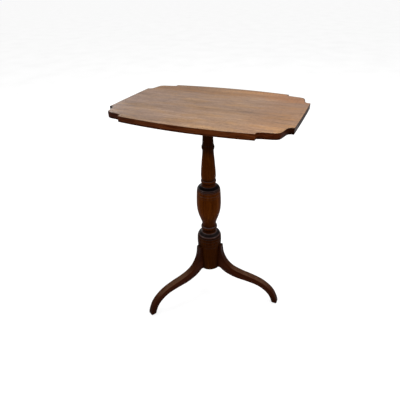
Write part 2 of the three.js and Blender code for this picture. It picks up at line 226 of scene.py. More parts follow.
def shaped(obj, cutters, operation="DIFFERENCE", sharp=32):
    """Cuts bmesh cutters out of an object, or joins them to it, and keeps the plain mesh."""
    for bm in cutters:
        tool = mesh_object("tool", bm)
        modifier = obj.modifiers.new("shape", "BOOLEAN")
        modifier.operation = operation
        modifier.solver = "EXACT"
        modifier.object = tool
        depsgraph = bpy.context.evaluated_depsgraph_get()
        mesh = bpy.data.meshes.new_from_object(obj.evaluated_get(depsgraph))
        obj.modifiers.clear()
        old = obj.data
        obj.data = mesh
        bpy.data.meshes.remove(old)
        bpy.data.objects.remove(tool)
    obj.data.name = obj.name
    bm = bmesh.new()
    bm.from_mesh(obj.data)
    bmesh.ops.remove_doubles(bm, verts=bm.verts, dist=2e-6)
    bm.to_mesh(obj.data)
    bm.free()
    shade(obj.data, sharp)
    return obj


def piece(obj, body, slot_name, material, *nodes):
    """Rides the piece on its body and stands it in for CAD nodes."""
    obj.data.materials.clear()
    obj.data.materials.append(material)
    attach(obj, body)
    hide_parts(*nodes)
    return obj


# -------------------------------- materials
class Graph:
    """A small helper for building a material's nodes."""

    def __init__(self, name):
        self.material = bpy.data.materials.new(name)
        self.material.use_nodes = True
        self.tree = self.material.node_tree
        self.shader = self.tree.nodes["Principled BSDF"]

    def node(self, kind, **settings):
        made = self.tree.nodes.new(kind)
        for key, value in settings.items():
            setattr(made, key, value)
        return made

    def link(self, source, target):
        self.tree.links.new(source, target)

    def put(self, socket, value):
        if isinstance(value, bpy.types.NodeSocket):
            self.link(value, socket)
        else:
            socket.default_value = value

    def place(self, scale=(1, 1, 1), rotation=(0, 0, 0), location=(0, 0, 0)):
        """Object coordinates in metres, turned and then stretched."""
        coords = self.node("ShaderNodeTexCoord").outputs["Object"]
        turn = self.node("ShaderNodeMapping")
        turn.inputs["Rotation"].default_value = rotation
        turn.inputs["Location"].default_value = location
        self.link(coords, turn.inputs["Vector"])
        stretch = self.node("ShaderNodeMapping")
        stretch.inputs["Scale"].default_value = scale
        self.link(turn.outputs[0], stretch.inputs["Vector"])
        return stretch.outputs[0]

    def noise(self, vector, scale, detail=3.0, rough=0.5, distortion=0.0):
        made = self.node("ShaderNodeTexNoise")
        self.link(vector, made.inputs["Vector"])
        made.inputs["Scale"].default_value = scale
        made.inputs["Detail"].default_value = detail
        made.inputs["Roughness"].default_value = rough
        made.inputs["Distortion"].default_value = distortion
        return made.outputs[0]

    def ramp(self, value, stops, ease="LINEAR"):
        made = self.node("ShaderNodeValToRGB")
        made.color_ramp.interpolation = ease
        elements = made.color_ramp.elements
        while len(elements) < len(stops):
            elements.new(0.5)
        for element, (at, colour) in zip(elements, stops):
            element.position = at
            grey = not hasattr(colour, "__len__")
            element.color = (colour, colour, colour, 1) if grey else (*colour, 1)
        self.link(value, made.inputs["Fac"])
        return made.outputs["Color"]

    def math(self, operation, a, b=0.0, clamp=False):
        made = self.node("ShaderNodeMath", operation=operation, use_clamp=clamp)
        self.put(made.inputs[0], a)
        self.put(made.inputs[1], b)
        return made.outputs[0]

    def span(self, value, low, high, to_low=0.0, to_high=1.0):
        made = self.node("ShaderNodeMapRange")
        made.interpolation_type = "SMOOTHSTEP"
        self.put(made.inputs["Value"], value)
        limits = {"From Min": low, "From Max": high, "To Min": to_low, "To Max": to_high}
        for key, number in limits.items():
            self.put(made.inputs[key], number)
        return made.outputs[0]

    def mix(self, a, b, factor, blend="MIX"):
        made = self.node("ShaderNodeMix", data_type="RGBA", blend_type=blend)
        self.put(made.inputs["Factor"], factor)
        self.put(made.inputs[6], (*a, 1) if isinstance(a, tuple) else a)
        self.put(made.inputs[7], (*b, 1) if isinstance(b, tuple) else b)
        return made.outputs[2]

    def facing(self, direction):
        """How far the surface faces a direction fixed to the piece, from -1 to 1."""
        made = self.node("ShaderNodeVectorMath", operation="DOT_PRODUCT")
        self.link(self.node("ShaderNodeTexCoord").outputs["Normal"], made.inputs[0])
        made.inputs[1].default_value = direction
        return made.outputs["Value"]

    def attribute(self, name):
        return self.node("ShaderNodeAttribute", attribute_name=name).outputs["Fac"]

    def tinted(self, colour, by, factor):
        """The colour multiplied by another, where the factor says."""
        return self.mix(colour, self.mix(colour, by, 1.0, "MULTIPLY"), factor)

    def axes(self, vector):
        made = self.node("ShaderNodeSeparateXYZ")
        self.link(vector, made.inputs[0])
        return made.outputs

    def bump(self, height, strength, distance, normal=None):
        made = self.node("ShaderNodeBump")
        made.inputs["Strength"].default_value = strength
        made.inputs["Distance"].default_value = distance
        self.link(height, made.inputs["Height"])
        if normal is not None:
            self.link(normal, made.inputs["Normal"])
        return made.outputs[0]


FIGURE_SCALE, STREAK_SCALE, FINE_SCALE, PORE_SCALE, SMEAR_SCALE = 14, 190, 720, 1900, 22


def wood(name, dark, mid, light, rough=(0.35, 0.5), specular=0.3, turn=(0, 0, 0),
         shift=(0, 0, 0), tint=None, streak=0.5, figure=0.35, ease=0.25, sheen=(1.0, 0.55, 0.22)):
    """Polished wood, its grain along the X axis once it is turned: broad figure, streaks, pores."""
    g = Graph(name)

    def grain(stretch, *settings):
        return g.noise(g.place((stretch, 1, 1), turn, shift), *settings)

    broad = grain(0.16, FIGURE_SCALE, 3, 0.55, 0.6)
    lines = grain(0.035, STREAK_SCALE, 4, 0.62, 0.25)
    fine = grain(0.03, FINE_SCALE, 2, 0.6)
    pores = grain(0.05, PORE_SCALE, 1, 0.5)
    value = g.math("MULTIPLY", broad, figure)
    value = g.math("ADD", value, g.math("MULTIPLY", lines, streak))
    value = g.math("ADD", value, g.math("MULTIPLY", fine, 1 - streak - figure))
    colour = g.ramp(value, [(0.5 - ease, dark), (0.5, mid), (0.5 + ease, light)], "EASE")
    pore = g.ramp(pores, [(0.36, 0.0), (0.46, 1.0)])
    colour = g.mix(g.mix(colour, (0.45, 0.4, 0.38), 1.0, "MULTIPLY"), colour, pore)
    if tint:
        colour = tint(g, colour)
    g.link(colour, g.shader.inputs["Base Color"])
    smear = grain(0.5, SMEAR_SCALE, 3, 0.6)
    g.link(g.span(smear, 0.3, 0.7, *rough), g.shader.inputs["Roughness"])
    g.shader.inputs["Specular IOR Level"].default_value = specular
    g.shader.inputs["Specular Tint"].default_value = (*sheen, 1)
    rings = g.bump(lines, 0.12, 0.0004)
    g.link(g.bump(pore, 0.25, 0.00012, rings), g.shader.inputs["Normal"])
    return g.material


def top_tint(g, colour):
    """The top's face is faded and golden along the back, with a painted sheen greying it to the
    left, painted light on its front right and back right, and painted shade on its back and left
    rim; its edge keeps its dark colour, with a painted reflection along its middle and painted
    shade to the left and underneath."""
    x, y, z = g.axes(g.place())
    wander = g.math("SUBTRACT", g.noise(g.place((0.55, 1, 1)), 9, 3, 0.6, 0.8), 0.5)
    back = g.span(g.math("ADD", y, g.math("MULTIPLY", wander, 0.09)), 0.088, 0.118)
    colour = g.tinted(colour, (0.92, 0.76, 0.48), back)
    # painted light: the back strip is made lighter towards the right
    colour = g.tinted(colour, (1.26, 1.2, 1.2), g.math("MULTIPLY", back, g.span(x, 0.0, 0.2)))
    # painted sheen: the face is made greyer and bluer to the left, a painted reflection
    left = g.span(g.math("ADD", x, g.math("MULTIPLY", wander, 0.3)), 0.08, -0.2)
    colour = g.tinted(colour, (0.95, 1.01, 1.16), left)
    back_left = g.math("MULTIPLY", g.span(x, 0.0, -0.12), g.span(y, 0.02, 0.09))
    colour = g.tinted(colour, (0.87, 0.81, 0.73), back_left)
    # painted light: the face is made lighter towards the front right
    front = g.math("SUBTRACT", x, g.math("MULTIPLY", y, 1.5))
    front = g.span(g.math("ADD", front, g.math("MULTIPLY", wander, 0.3)), 0.02, 0.42)
    colour = g.tinted(colour, (1.33, 1.32, 1.22), front)
    colour = g.tinted(colour, (0.93, 0.86, 0.82), g.span(x, 0.1, 0.2))
    hue = g.noise(g.place((0.3, 1, 1), location=(0.7, 0.2, 0)), 34, 3, 0.6, 0.5)
    colour = g.tinted(colour, (1.07, 1.0, 0.8), g.span(hue, 0.5, 0.64))
    colour = g.tinted(colour, (0.93, 0.94, 1.0), g.span(hue, 0.5, 0.36))
    stain = g.noise(g.place((0.32, 1, 1), location=(0.3, 0.1, 0)), 42, 4, 0.7)
    stain = g.ramp(stain, [(0.5, 0.0), (0.66, 1.0)])
    colour = g.tinted(colour, (0.76, 0.72, 0.69), g.math("MULTIPLY", stain, 0.75))
    # painted shade: the face is darkened along its rim at the back and the left
    far = g.math("MAXIMUM", g.span(y, 0.09, 0.13), g.span(x, -0.18, -0.22))
    rim_shade = g.math("MULTIPLY", g.math("POWER", g.attribute("rim_shade"), 1.3), far)
    colour = g.tinted(colour, (0.34, 0.33, 0.34), rim_shade)
    grain = g.noise(g.place((0.05, 1, 2.2)), 330, 4, 0.6)
    edge = g.ramp(grain, [
        (0.36, (0.026, 0.0045, 0.0008)),
        (0.55, (0.07, 0.0165, 0.0032)),
        (0.72, (0.12, 0.037, 0.01)),
    ])
    # darker towards both arrises, which leaves a painted reflection along the middle of the edge;
    # darker round the corners and at the two ends; and painted shade to the left
    middle = g.math("ABSOLUTE", g.math("SUBTRACT", z, (top_low.z + top_high.z) / 2 * MM + 0.0015))
    edge = g.tinted(edge, (0.42, 0.34, 0.32), g.span(middle, 0.0025, 0.0085))
    off_centre = g.math("SUBTRACT", x, (top_low.x + top_high.x) / 2 * MM)
    off_centre = g.math("ABSOLUTE", off_centre)
    edge = g.tinted(edge, (0.62, 0.5, 0.56), g.span(off_centre, 0.19, 0.197))
    edge = g.tinted(edge, (0.3, 0.28, 0.38), g.span(off_centre, 0.238, 0.26))
    # painted shade: the edge is made darker to the left
    edge = g.tinted(edge, (0.6, 0.52, 0.4), g.span(x, 0.0, -0.16))
    upward = g.facing((0, 0, 1))
    face = g.span(upward, 0.3, 0.8)
    g.link(g.math("MULTIPLY", face, 0.3), g.shader.inputs["Coat Weight"])
    g.shader.inputs["Coat Roughness"].default_value = 0.3
    # painted shade: the underside takes the face's colour, darkened
    edge = g.mix(edge, g.tinted(colour, (0.3, 0.25, 0.2), 1.0), g.span(upward, -0.5, -0.9))
    return g.mix(edge, colour, face)


def column_tint(g, colour):
    """Dark in the turnings and on the shaft, with painted shade on the neck, the lower vase and the
    drum beside the legs, warm on the swell of the vase, and a painted highlight on the upward faces
    of the shoulders.
    """
    z = g.axes(g.place())[2]
    low, high = column_low.z * MM, column_high.z * MM
    share = g.math("DIVIDE", g.math("SUBTRACT", z, low), high - low)
    # a tone along the column's height; the neck is darkened as painted shade under the top, and the
    # lower vase as painted shade
    stops = [(0.0, 0.48)]
    for height, value in (
        (24, 0.54), (41, 0.48), (45, 0.1), (49, 0.75), (51, 0.6), (52.5, 0.1), (57, 0.1),
        (60, 0.85), (64, 0.3), (75, 0.25), (79, 0.95), (85, 0.4), (94, 0.7), (110, 0.78),
        (150, 1.2), (225, 1.1), (229, 0.8), (232, 0.2), (234.8, 0.65), (236.5, 0.04), (242, 0.06),
        (246.5, 0.8), (256, 0.25), (260, 1.15), (266, 0.3), (276, 1.0), (345, 0.95), (367, 0.35),
        (377, 0.28), (420, 0.27), (463, 0.16),
    ):
        stops.append((((TURN_FOOT + height) * MM - low) / (high - low), value))
    # the ramp holds half of each strength, so that none is above 1, and it is doubled below
    strength = g.ramp(share, [(place, value * 0.5) for place, value in stops])
    upward = g.facing((0, 0, 1))
    undarkened = g.math("SUBTRACT", 1.0, g.math("MULTIPLY", g.attribute("dark_hollows_corner_shade"), 3.0), clamp=True)
    # painted highlight: the upward faces of the shoulders are mixed towards grey, outside the dark
    # hollows; the coat's gloss follows the same mask
    highlight_mask = g.math("MULTIPLY", g.math("MULTIPLY", g.span(upward, 0.35, 0.75), undarkened), 0.75)
    colour = g.mix(colour, (0.075, 0.053, 0.053), highlight_mask)
    colour = g.tinted(g.tinted(colour, strength, 1.0), (2.0, 2.0, 2.0), 1.0)
    coat = g.math("MULTIPLY", highlight_mask, g.math("MULTIPLY", strength, 0.7))
    g.link(coat, g.shader.inputs["Coat Weight"])
    g.shader.inputs["Coat Roughness"].default_value = 0.24
    # darker in the hollows of the turnings, and painted shade on the drum beside the legs, between
    # the parts
    return g.tinted(colour, (0.16, 0.12, 0.1), g.attribute("dark_hollows_corner_shade"))


def leg_tint(side):
    """Painted highlights: lighter along the upper arrises and a little grey on the upper faces;
    darker towards the foot and the root, and painted shade on the undersides, where side is the
    direction across the leg."""

    def tint(g, colour):
        across = g.math("ABSOLUTE", g.facing(side))
        z = g.axes(g.place())[2]
        upper = g.span(g.facing((0, 0, 1)), 0.25, 0.85)
        upward = g.span(g.facing((0, 0, 1)), -0.1, 0.1)
        # painted highlight: the upper faces are made a little grey, most on their middle stretch
        highlight_stretch = g.math("MULTIPLY", g.span(z, 0.06, 0.085), g.span(z, 0.125, 0.1))
        patch = g.span(g.noise(g.place(location=(0.2, 0, 0)), 26, 3, 0.6), 0.36, 0.6, 0.35, 1.0)
        grey = g.math("MULTIPLY", g.math("ADD", g.math("MULTIPLY", highlight_stretch, 0.4), 0.16), patch)
        colour = g.mix(colour, (0.088, 0.046, 0.026), g.math("MULTIPLY", upper, grey))
        # painted highlight: the upper arrises are made lighter in patches
        arris = g.math("MULTIPLY", g.span(across, 0.35, 0.65), g.span(across, 0.99, 0.85))
        highlight_patches = g.span(g.noise(g.place(), 60, 4, 0.7), 0.4, 0.62)
        worn = g.math("MULTIPLY", g.math("MULTIPLY", arris, highlight_patches), upward)
        colour = g.tinted(colour, (1.8, 1.6, 1.5), worn)
        colour = g.tinted(colour, (0.6, 0.58, 0.56), g.span(z, 0.08, 0.0))
        colour = g.tinted(colour, (0.62, 0.58, 0.52), g.span(z, 0.11, 0.15))
        # painted shade: the undersides are darkened
        return g.tinted(colour, (0.3, 0.26, 0.26), g.span(g.facing((0, 0, 1)), -0.1, -0.6))

    return tint


def dull_metal(name, base, dark, rough, spots=220, metallic=1.0):
    """Metal gone dull: blotches of tarnish, fine pitting and uneven gloss."""
    g = Graph(name)
    blotch = g.noise(g.place(), spots, 4, 0.65)
    colour = g.ramp(blotch, [(0.35, dark), (0.62, base)])
    g.link(colour, g.shader.inputs["Base Color"])
    g.shader.inputs["Metallic"].default_value = metallic
    g.link(g.span(blotch, 0.3, 0.7, rough + 0.18, rough), g.shader.inputs["Roughness"])
    pits = g.noise(g.place(), spots * 6, 3, 0.6)
    g.link(g.bump(pits, 0.15, 0.0002), g.shader.inputs["Normal"])
    return g.material


top_wood = wood(
    "faded_top", (0.087, 0.048, 0.026), (0.175, 0.103, 0.06), (0.272, 0.174, 0.108),
    rough=(0.42, 0.56), specular=0.03, tint=top_tint, streak=0.45, ease=0.16, sheen=(1.0, 0.6, 0.3))
column_wood = wood(
    "turned_column", (0.0145, 0.0026, 0.0002), (0.039, 0.0084, 0.0004), (0.068, 0.0175, 0.0014),
    rough=(0.3, 0.42), specular=0.007, turn=(0, math.pi / 2, 0), tint=column_tint, ease=0.16)
LEG_SLOPE = math.radians(27)
leg_wood = {}
for leg_name, degrees in LEG_ANGLES.items():
    # the grain runs outward and down along each leg
    angle = math.radians(degrees)
    whole = Matrix.Rotation(angle, 3, "Z") @ Matrix.Rotation(LEG_SLOPE, 3, "Y")
    leg_wood[leg_name] = wood(
        f"curved_leg_{leg_name}", (0.009, 0.0012, 0.0001), (0.023, 0.004, 0.0005),
        (0.045, 0.0105, 0.0022), rough=(0.34, 0.5), specular=0.015,
        turn=tuple(whole.transposed().to_euler("XYZ")), shift=(0.1 * degrees / 120, 0, 0),
        tint=leg_tint((-math.sin(angle), math.cos(angle), 0)), streak=0.45, ease=0.16,
        sheen=(1.0, 0.7, 0.5))
plain_wood = wood(
    "unpolished_wood", (0.028, 0.0125, 0.005), (0.058, 0.028, 0.0125), (0.1, 0.054, 0.026),
    rough=(0.6, 0.78), specular=0.15, streak=0.45, ease=0.18)
brass = dull_metal("tarnished_brass", (0.4, 0.27, 0.11), (0.13, 0.08, 0.033), 0.4)
iron = dull_metal("dark_iron", (0.11, 0.1, 0.095), (0.035, 0.026, 0.02), 0.5, 300, 0.9)

# -------------------------------- the top
CORNER_LENGTH, CORNER_DEPTH, STEP, LONG_BOW, SHORT_BOW = 77, 70, 11, 13.6, 1


def top_outline():
    """The top's plan, counter-clockwise: bowed sides, and a stepped ovolo at each corner."""
    half_length = (top_high.x - top_low.x) / 2
    half_depth = (top_high.y - top_low.y) / 2
    centre = (top_low + top_high) / 2
    side_x = half_length - SHORT_BOW - CORNER_LENGTH
    side_y = half_depth - LONG_BOW - CORNER_DEPTH
    ovolo = [(0, STEP), (12, STEP + 4), (24, STEP + 6.3), (39, STEP + 8.8), (50.5, 25.3),
             (55, 34), (58, 46), (60.5, 58), (64, 66), (70, CORNER_DEPTH)]
    corner = [(0, 0), *smooth(ovolo, 54), (CORNER_LENGTH, CORNER_DEPTH)]
    corner = [(side_x + u, half_depth - LONG_BOW - v) for u, v in corner]
    steps = 36
    ts = [-1 + 2 * i / steps for i in range(1, steps)]
    long_side = [(t * side_x, half_depth - LONG_BOW * t * t) for t in ts]
    short_side = [(half_length - SHORT_BOW * t * t, t * side_y) for t in ts[::3]]
    quarter = [
        [(x, -y) for x, y in long_side], [(x, -y) for x, y in corner], short_side, corner[::-1],
        long_side[::-1], [(-x, y) for x, y in corner], [(-x, y) for x, y in short_side[::-1]],
        [(-x, -y) for x, y in corner[::-1]],
    ]
    return [(x + centre.x, y + centre.y) for part in quarter for x, y in part]


top = mesh_object("shaped_top", slab(top_outline(), top_low.z, top_high.z, 1.0, 1.4, border=4))
# the rim shade attribute is 1 on the outline's rings and 0 on the inner border ring; it carries the
# painted shade on the face's back and left rim
rim_shade = top.data.attributes.new("rim_shade", "FLOAT", "POINT")
outline_count = len(top_outline())
for index, vertex in enumerate(top.data.vertices):
    rim_shade.data[index].value = 0.0 if index >= len(top.data.vertices) - outline_count else 1.0
piece(top, "top", "top_wood", top_wood, "table_top")

# -------------------------------- the cleats
CLEAT_TAPER, CLEAT_TIP, CLEAT_WIDTH = 62, 10, 28
SLOT_HALF_SHARE, SLOT_DEPTH = 0.13, 0.8
WOOD_SCREW, BRASS_SCREW = (2.2, 4.6), (1.5, 3)
CLEAT_BORE_RADIUS, MOUTH_RADIUS, MOUTH_DEPTH = 4.3, 5, 0.6
cleat_half = cleat_high.x
cleat_full = cleat_half - CLEAT_TAPER
cleat_thick = cleat_high.z - cleat_low.z
cleat_end = smooth([
    (cleat_full, cleat_low.z),
    (cleat_full + 0.55 * CLEAT_TAPER, cleat_high.z - 0.82 * cleat_thick),
    (cleat_half, cleat_high.z - CLEAT_TIP),
], 20)
cleat_outline = [*cleat_end, (cleat_half, cleat_high.z), (-cleat_half, cleat_high.z),
                 *[(-x, z) for x, z in reversed(cleat_end)]]


def screw_profile(radius, head, length):
    """A countersunk screw from its head to its point, turned round Z."""
    cone = head - radius
    return [(0, 0), (head - 0.15, 0), (head, 0.15), (head, 0.45), (radius, 0.45 + cone),
            (radius, length - 2 * radius), (0, length)]


def screw(name, radius, head, length, matrix):
    """A countersunk screw with its slot, seated head outward."""
    obj = mesh_object(name, turned(screw_profile(radius, head, length), 28, matrix))
    half = SLOT_HALF_SHARE * head
    slot_cut = box_bm((-2 * head, -half, -1), (2 * head, half, SLOT_DEPTH))
    bmesh.ops.transform(slot_cut, matrix=matrix, verts=slot_cut.verts)
    return shaped(obj, [slot_cut])


for side_name, side in (("front", -1), ("back", 1)):
    middle = side * (cleat_low.y + cleat_high.y) / 2
    matrix = Matrix.Translation((0, middle, 0)) @ UPRIGHT
    solid = slab(cleat_outline, -CLEAT_WIDTH / 2, CLEAT_WIDTH / 2, 1.6, 1.6, matrix)
    cleat = mesh_object(f"shaped_cleat_{side_name}", solid)
    bore_matrix = Matrix.Translation((PIVOT.x, middle, PIVOT.z)) @ UPRIGHT
    cuts = [rod_bm(CLEAT_BORE_RADIUS, -40, 40, 40, bore_matrix)]
    for number in range(1, 5):
        node = f"cleat_{side_name}_screw_{number}"
        low, high = [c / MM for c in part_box(node)]
        at = Vector(((low.x + high.x) / 2, middle, low.z))
        cuts.append(rod_bm(MOUTH_RADIUS, -3, MOUTH_DEPTH, 32, Matrix.Translation(at)))
        turn = Matrix.Rotation(math.radians(37 * number + 20 * side), 4, "Z")
        made = screw(f"slotted_{node}", *WOOD_SCREW, high.z - low.z, Matrix.Translation(at) @ turn)
        piece(made, "top", "iron", iron, node)
    shaped(cleat, cuts)
    piece(cleat, "top", "plain_wood", plain_wood, f"cleat_{side_name}")

# -------------------------------- the block
BOLT_ROOM, BOLT_POCKET_HALF, PIN_HOLE_DEEP = 0.8, 7.8, 36.5
hinge_radius = PIVOT.x - block_low.x
block_outline = [(block_high.x, block_low.z), (block_high.x, block_high.z)]
for i in range(25):
    a = math.pi / 2 + math.pi / 2 * i / 24
    block_outline.append((PIVOT.x + hinge_radius * math.cos(a),
                          PIVOT.z + hinge_radius * math.sin(a)))
block_outline.append((block_low.x, block_low.z))
block = slab(block_outline, block_low.y, block_high.y, 1.2, 1.2, UPRIGHT)
block = mesh_object("hinge_block", block)
pin_matrix = Matrix.Translation((PIVOT.x, 0, PIVOT.z)) @ UPRIGHT
shaped(block, [
    rod_bm(TENON_RADIUS + 0.2, block_low.z - 5, block_high.z + 5, 64),
    box_bm((keeper_low.x - 0.1, keeper_low.y - 0.2, keeper_low.z - 0.2),
           (block_high.x + 5, keeper_high.y + 0.2, block_high.z + 5)),
    box_bm((bolt_low.x - BOLT_ROOM, -BOLT_POCKET_HALF, bolt_low.z - BOLT_ROOM),
           (block_high.x + 5, BOLT_POCKET_HALF, bolt_high.z + BOLT_ROOM)),
    rod_bm(PIN_HOLE_RADIUS, PIN_HOLE_DEEP, 70, 40, pin_matrix),
    rod_bm(PIN_HOLE_RADIUS, -70, -PIN_HOLE_DEEP, 40, pin_matrix),
])
piece(block, "base", "plain_wood", plain_wood, "top_block")

# -------------------------------- the catch's knob and screws
KNOB_RADIUS, STEM_RADIUS, KNOB_DROP = 6.5, 2.4, 15
knob_x = (knob_low.x + knob_high.x) / 2
knob_profile = [
    (0, case_low.z - KNOB_DROP),
    *smooth([
        (0.5 * KNOB_RADIUS, case_low.z - KNOB_DROP + 0.4),
        (KNOB_RADIUS, case_low.z - 0.65 * KNOB_DROP),
        (STEM_RADIUS + 1, case_low.z - 0.3 * KNOB_DROP),
        (STEM_RADIUS + 0.8, case_low.z - 0.6),
    ], 30),
    (STEM_RADIUS - 0.02, case_low.z - 0.6),
    (STEM_RADIUS - 0.02, knob_high.z),
    (0, knob_high.z),
]
knob = mesh_object("turned_knob", turned(knob_profile, 48, Matrix.Translation((knob_x, 0, 0))))
piece(knob, "catch", "brass", brass, "catch_knob")
for number in range(1, 5):
    node = f"catch_screw_{number}"
    low, high = [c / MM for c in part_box(node)]
    at = Vector(((low.x + high.x) / 2, (low.y + high.y) / 2, low.z))
    turn = Matrix.Rotation(math.radians(50 * number), 4, "Z")
    made = screw(f"slotted_{node}", *BRASS_SCREW, high.z - low.z, Matrix.Translation(at) @ turn)
    piece(made, "top", "brass", brass, node)
for number in (1, 2):
    node = f"keeper_screw_{number}"
    low, high = [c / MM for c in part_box(node)]
    at = Vector((high.x, (low.y + high.y) / 2, (low.z + high.z) / 2))
    turn = Matrix.Rotation(math.radians(65 * number), 4, "Z")
    turn = Matrix.Rotation(-math.pi / 2, 4, "Y") @ turn
    made = screw(f"slotted_{node}", *BRASS_SCREW, high.x - low.x, Matrix.Translation(at) @ turn)
    piece(made, "base", "brass", brass, node)

# -------------------------------- the catch's spring
SPRING_WIRE, SPRING_TURNS, END_PITCH = 0.35, 8, 0.8
spring_low, spring_high = [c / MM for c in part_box("catch_spring")]


def spring_bm(steps=24, sides=8):
    """A coil spring along the X axis whose two end turns are wound close."""
    centre = (spring_low + spring_high) / 2
    radius = (spring_high.z - spring_low.z) / 2 - SPRING_WIRE
    start, stop = spring_low.x + SPRING_WIRE, spring_high.x - SPRING_WIRE
    open_pitch = (stop - start - 2 * END_PITCH) / (SPRING_TURNS - 2)
    bm = bmesh.new()
    rings = []
    for step in range(SPRING_TURNS * steps + 1):
        turns = step / steps
        x = start + END_PITCH * min(turns, 1)
        x += open_pitch * min(max(turns - 1, 0), SPRING_TURNS - 2)
        x += END_PITCH * max(turns - SPRING_TURNS + 1, 0)
        a = 2 * math.pi * turns
        outward = Vector((0, math.cos(a), math.sin(a)))
        forward = Vector((open_pitch / (2 * math.pi), -radius * math.sin(a), radius * math.cos(a)))
        sideways = forward.normalized().cross(outward)
        middle = Vector((x, centre.y, centre.z)) + radius * outward
        ring = []
        for i in range(sides):
            b = 2 * math.pi * i / sides
            from_middle = SPRING_WIRE * (math.cos(b) * outward + math.sin(b) * sideways)
            ring.append(bm.verts.new(middle + from_middle))
        rings.append(ring)
    for here, there in zip(rings, rings[1:]):
        for i in range(sides):
            j = (i + 1) % sides
            bm.faces.new((here[i], here[j], there[j], there[i]))
    bm.faces.new(list(reversed(rings[0])))
    bm.faces.new(rings[-1])
    return bm


spring = piece(mesh_object("coil_spring", spring_bm(), 60), "top", "iron", iron, "catch_spring")
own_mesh(spring)

# -------------------------------- the column
R = DRUM_RADIUS


def up(points):
    """Points of a turning, with heights from the foot of the turnings, at their real heights."""
    return [(radius, TURN_FOOT + z) for radius, z in points]


def radius_at(curve, z):
    """The radius of a curve of (radius, z) points at a height."""
    for (r0, z0), (r1, z1) in zip(curve, curve[1:]):
        if z0 <= z <= z1:
            return r0 + (r1 - r0) * (z - z0) / max(z1 - z0, 1e-9)
    return curve[-1][0]


def scribed(curve, lines):
    """Cuts scribed lines into a curve, each with its height, depth and half width."""
    out = []
    marks = list(lines)
    for radius, z in curve:
        while marks and z > marks[0][0] - marks[0][2]:
            height, deep, half = marks.pop(0)
            low, high = radius_at(curve, height - half), radius_at(curve, height + half)
            middle = (low + high) / 2 - deep
            out += [(low, height - half), (low + 0.7 * (middle - low), height - 0.4 * half),
                    (middle, height), (high + 0.7 * (middle - high), height + 0.4 * half),
                    (high, height + half)]
        if not out or z > out[-1][1] + 0.05:
            out.append((radius, z))
    return out


base_shoulder = smooth([(R + 0.6, 11), (R + 0.9, 22), (R + 0.5, 36), (R - 1.3, 45.5),
                        (R - 5.8, 52.5), (29.3, 56.5), (25, 61), (24.6, 71)], 56)
vase = smooth([(24.4, 86), (24.3, 94), (25.8, 102), (30.9, 117), (35.9, 133), (39.4, 149),
               (41.1, 169), (41, 190), (40.2, 210), (39.4, 222)], 60)
vase_shoulder = smooth([(39.3, 224), (38, 231), (34.8, 236.5), (29, 240.5), (24.6, 244.5),
                        (23.2, 251)], 36)
shaft = smooth([(23.3, 268), (24.3, 275), (24.3, 286), (23, 306), (20.9, 331), (18.7, 354),
                (18, 366)], 40)
neck = smooth([(17.8, 387), (16.7, 407), (16.5, 425), (17.5, 442), (20, 449)], 30)
collar_under = block_low.z - 0.3
column_profile = [
    (0, COLUMN_FOOT), (R - DRUM_TAPER - 0.8, COLUMN_FOOT), (R - DRUM_TAPER, COLUMN_FOOT + 0.8),
    (R, LEG_TOP - 0.4), (R - 0.5, LEG_TOP + 0.2), (R - 0.8, LEG_TOP + 1.2),
    (R - 0.3, LEG_TOP + 2.4),
    *up(scribed(base_shoulder, [(20, 1, 1.3), (33, 1, 1.3), (43.5, 1.5, 1.7), (54.5, 1.6, 1.5)])),
    *up(bead(26.4, 1.8, 73.5, 83)), *up(scribed(vase, [(206, 0.6, 0.9), (215.5, 0.7, 0.9)])),
    *up(scribed(vase_shoulder, [(226, 0.7, 0.8), (231.5, 1.2, 1.5)])),
    *up(bead(23.2, 2, 254, 264)), *up(shaft), *up(bead(18, 2.4, 369, 385)), *up(neck),
    *up(bead(21.5, 2, 451, 456)), (25, TURN_FOOT + 457.5), (25, collar_under),
    (TENON_RADIUS, collar_under), (TENON_RADIUS, column_high.z - 0.6),
    (TENON_RADIUS - 0.6, column_high.z), (0, column_high.z),
]
column = mesh_object("turned_column", turned(column_profile, 128), 40)


DOVETAIL_DEPTH, DOVETAIL_WIDE, DOVETAIL_NARROW, DOVETAIL_DROP = 13, 7.5, 5.5, 14


def dovetail(grow, low, high, degrees):
    """The dovetail that joins a leg to the drum, grown a little where it is a socket."""
    inner = R - DRUM_TAPER - DOVETAIL_DEPTH - grow
    outer = R + 3
    wide, narrow = DOVETAIL_WIDE + grow, DOVETAIL_NARROW + grow
    plan = [(inner, -wide), (outer, -narrow), (outer, narrow), (inner, wide)]
    return slab(plan, low, high, 0, 0, Matrix.Rotation(math.radians(degrees), 4, "Z"), 1)


dovetail_top = LEG_TOP - DOVETAIL_DROP
wedge_low, wedge_high = [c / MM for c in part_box("tenon_wedge")]
wedge_cut = slab([(-0.7, wedge_low.z - 0.3), (0.7, wedge_low.z - 0.3), (2.15, wedge_high.z + 0.3),
                  (-2.15, wedge_high.z + 0.3)], -21, 21, 0, 0, UPRIGHT, 1)
SOCKET_GAP = 0.15
sockets = [dovetail(SOCKET_GAP, COLUMN_FOOT - 5, dovetail_top + SOCKET_GAP, degrees)
           for degrees in LEG_ANGLES.values()]
shaped(column, [*sockets, wedge_cut], sharp=40)

